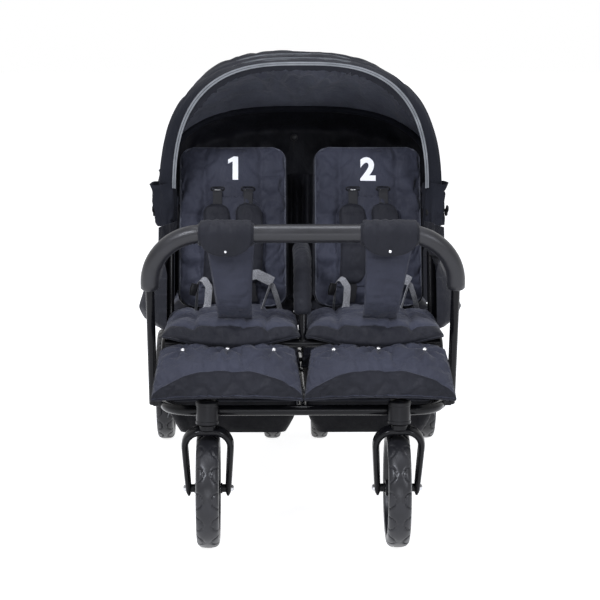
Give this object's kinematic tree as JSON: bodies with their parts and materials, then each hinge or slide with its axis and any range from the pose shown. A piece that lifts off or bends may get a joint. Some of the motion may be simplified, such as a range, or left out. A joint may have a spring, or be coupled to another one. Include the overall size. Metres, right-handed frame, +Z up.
{
  "type": "six-seat stroller",
  "caption": "Long stroller on a tube chassis: seats in side-by-side pairs, a folding hood over each pair, swivel front wheels, a padded front guard arch and a rear push handle.",
  "frame": {"origin": "on the ground at the centre of the bounding box", "axes": "+X to the stroller's left-right axis, seat 2's side positive; +Y from the front wheels to the push handle; +Z up"},
  "size_m": [0.761, 1.6632, 1.0544],
  "materials": {
    "frame_steel": "gloss black powder coat",
    "axle_steel": "zinc plated",
    "plastic": "satin moulded black",
    "tyre": "satin solid rubber",
    "foam": "satin black foam",
    "seat_fabric": "matt woven nylon, dark slate",
    "hood_fabric": "matt woven nylon, near black",
    "basket_fabric": "coated cloth"
  },
  "bodies": {
    "chassis": {"side_rails": "frame_steel", "centre_rail": "frame_steel", "rear_axle": "axle_steel", "row_frame_1": "frame_steel", "row_frame_2": "frame_steel", "row_frame_3": "frame_steel", "front_arch": "frame_steel", "handle_uprights": "frame_steel", "arch_foam_grip": "foam", "caster_housing_left": "plastic", "caster_housing_right": "plastic", "arm_sleeve_1": "seat_fabric", "arm_sleeve_2": "seat_fabric", "arm_sleeve_3": "seat_fabric", "hood_rear_hoop_1": "frame_steel", "hood_rear_hoop_2": "frame_steel", "hood_rear_hoop_3": "frame_steel", "hood_fabric_1": "hood_fabric", "hood_fabric_2": "hood_fabric", "hood_fabric_3": "hood_fabric", "seat_cushion_1": "seat_fabric", "seat_cushion_2": "seat_fabric", "seat_cushion_3": "seat_fabric", "seat_cushion_4": "seat_fabric", "seat_cushion_5": "seat_fabric", "seat_cushion_6": "seat_fabric", "leg_rest_1": "seat_fabric", "leg_rest_2": "seat_fabric", "leg_rest_3": "seat_fabric", "leg_rest_4": "seat_fabric", "leg_rest_5": "seat_fabric", "leg_rest_6": "seat_fabric", "basket_left": "basket_fabric", "basket_right": "basket_fabric"},
    "caster_left": {"caster_fork_left": "frame_steel"},
    "front_wheel_left": {"front_tyre_left": "tyre", "front_hub_left": "plastic"},
    "caster_right": {"caster_fork_right": "frame_steel"},
    "front_wheel_right": {"front_tyre_right": "tyre", "front_hub_right": "plastic"},
    "rear_wheel_1": {"rear_tyre_1": "tyre", "rear_hub_1": "plastic"},
    "rear_wheel_2": {"rear_tyre_2": "tyre", "rear_hub_2": "plastic"},
    "rear_wheel_3": {"rear_tyre_3": "tyre", "rear_hub_3": "plastic"},
    "rear_wheel_4": {"rear_tyre_4": "tyre", "rear_hub_4": "plastic"},
    "seat_back_1": {"backrest_1": "seat_fabric"},
    "seat_back_2": {"backrest_2": "seat_fabric"},
    "seat_back_3": {"backrest_3": "seat_fabric"},
    "seat_back_4": {"backrest_4": "seat_fabric"},
    "seat_back_5": {"backrest_5": "seat_fabric"},
    "seat_back_6": {"backrest_6": "seat_fabric"},
    "hood_front_1": {"hood_front_hoop_1": "frame_steel"},
    "hood_front_2": {"hood_front_hoop_2": "frame_steel"},
    "hood_front_3": {"hood_front_hoop_3": "frame_steel"},
    "handle": {"push_handle": "frame_steel", "handle_grip": "foam"},
    "brake": {"brake_pedal": "plastic"}
  },
  "joints": [
    {"name": "caster_swivel_left", "type": "hinge", "parent": "chassis", "child": "caster_left", "pos_m": [-0.206, -0.7596, 0.27], "axis": [0, 0, 1], "continuous": true},
    {"name": "front_wheel_spin_left", "type": "hinge", "parent": "caster_left", "child": "front_wheel_left", "pos_m": [-0.206, -0.7016, 0.13], "axis": [1, 0, 0], "continuous": true},
    {"name": "caster_swivel_right", "type": "hinge", "parent": "chassis", "child": "caster_right", "pos_m": [0.206, -0.7596, 0.27], "axis": [0, 0, 1], "continuous": true},
    {"name": "front_wheel_spin_right", "type": "hinge", "parent": "caster_right", "child": "front_wheel_right", "pos_m": [0.206, -0.7016, 0.13], "axis": [1, 0, 0], "continuous": true},
    {"name": "rear_wheel_spin_1", "type": "hinge", "parent": "chassis", "child": "rear_wheel_1", "pos_m": [-0.353, 0.4684, 0.15], "axis": [1, 0, 0], "continuous": true},
    {"name": "rear_wheel_spin_2", "type": "hinge", "parent": "chassis", "child": "rear_wheel_2", "pos_m": [-0.064, 0.4684, 0.15], "axis": [1, 0, 0], "continuous": true},
    {"name": "rear_wheel_spin_3", "type": "hinge", "parent": "chassis", "child": "rear_wheel_3", "pos_m": [0.064, 0.4684, 0.15], "axis": [1, 0, 0], "continuous": true},
    {"name": "rear_wheel_spin_4", "type": "hinge", "parent": "chassis", "child": "rear_wheel_4", "pos_m": [0.353, 0.4684, 0.15], "axis": [1, 0, 0], "continuous": true},
    {"name": "backrest_recline_1", "type": "hinge", "parent": "chassis", "child": "seat_back_1", "pos_m": [-0.156, -0.4216, 0.455], "axis": [-1, 0, 0], "range_deg": [-15, 12]},
    {"name": "backrest_recline_2", "type": "hinge", "parent": "chassis", "child": "seat_back_2", "pos_m": [0.156, -0.4216, 0.455], "axis": [-1, 0, 0], "range_deg": [-15, 12]},
    {"name": "backrest_recline_3", "type": "hinge", "parent": "chassis", "child": "seat_back_3", "pos_m": [-0.156, -0.0116, 0.455], "axis": [-1, 0, 0], "range_deg": [-15, 12]},
    {"name": "backrest_recline_4", "type": "hinge", "parent": "chassis", "child": "seat_back_4", "pos_m": [0.156, -0.0116, 0.455], "axis": [-1, 0, 0], "range_deg": [-15, 12]},
    {"name": "backrest_recline_5", "type": "hinge", "parent": "chassis", "child": "seat_back_5", "pos_m": [-0.156, 0.3984, 0.455], "axis": [-1, 0, 0], "range_deg": [-15, 12]},
    {"name": "backrest_recline_6", "type": "hinge", "parent": "chassis", "child": "seat_back_6", "pos_m": [0.156, 0.3984, 0.455], "axis": [-1, 0, 0], "range_deg": [-15, 12]},
    {"name": "hood_fold_1", "type": "hinge", "parent": "chassis", "child": "hood_front_1", "pos_m": [0, -0.3566, 0.7], "axis": [-1, 0, 0], "range_deg": [-10, 48], "deforming": ["hood_fabric_1"]},
    {"name": "hood_fold_2", "type": "hinge", "parent": "chassis", "child": "hood_front_2", "pos_m": [0, 0.0534, 0.7], "axis": [-1, 0, 0], "range_deg": [-10, 48], "deforming": ["hood_fabric_2"]},
    {"name": "hood_fold_3", "type": "hinge", "parent": "chassis", "child": "hood_front_3", "pos_m": [0, 0.4634, 0.7], "axis": [-1, 0, 0], "range_deg": [-10, 48], "deforming": ["hood_fabric_3"]},
    {"name": "handle_tilt", "type": "hinge", "parent": "chassis", "child": "handle", "pos_m": [0, 0.6984, 0.8], "axis": [-1, 0, 0], "range_deg": [-12, 130]},
    {"name": "brake_press", "type": "hinge", "parent": "chassis", "child": "brake", "pos_m": [0, 0.4684, 0.15], "axis": [-1, 0, 0], "range_deg": [0, 22]}
  ]
}
